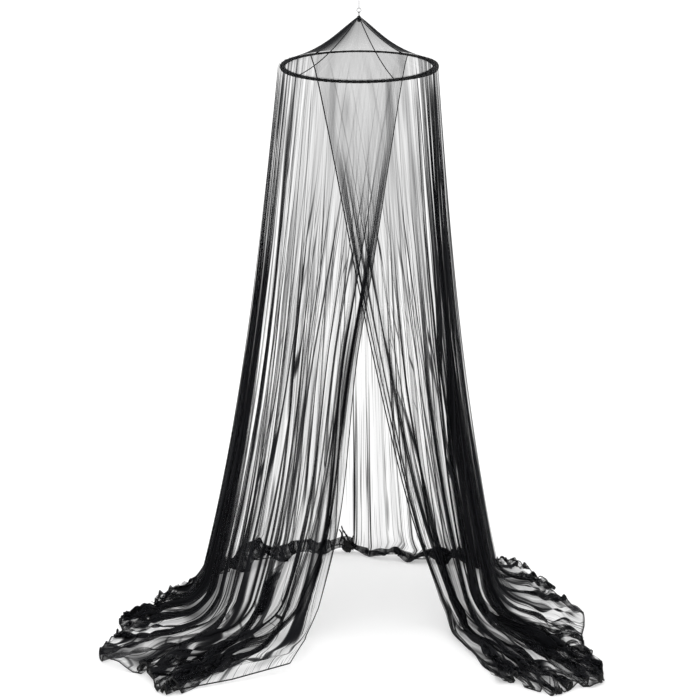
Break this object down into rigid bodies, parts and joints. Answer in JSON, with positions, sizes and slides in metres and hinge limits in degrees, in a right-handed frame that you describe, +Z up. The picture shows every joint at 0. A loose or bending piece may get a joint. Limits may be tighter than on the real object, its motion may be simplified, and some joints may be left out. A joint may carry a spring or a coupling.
{
  "type": "mosquito net canopy with its hoop and ceiling hook",
  "caption": "Round mosquito net canopy: a hoop with a cone of net above it and a long folded net curtain that laps at the front and trails on the floor.",
  "frame": {"origin": "top of the ceiling hook, on the canopy's upright axis", "axes": "+Z up, -Y towards the opening in the net, +X to the right of someone who looks at the opening"},
  "size_m": [1.6997, 1.5825, 2.3],
  "materials": {
    "net": "sheer black net, matt",
    "hoop": "black woven sleeve over the hoop's rod",
    "cord": "black twisted cord",
    "hook": "bright zinc-plated wire"
  },
  "bodies": {
    "root": {"ceiling_hook": "hook", "hanging_loop": "cord", "cord_front_left": "cord", "cord_front_right": "cord", "cord_back_left": "cord", "cord_back_right": "cord", "hoop": "hoop", "cone_net": "net", "curtain_net": "net", "hem_knot": "net"}
  },
  "joints": []
}
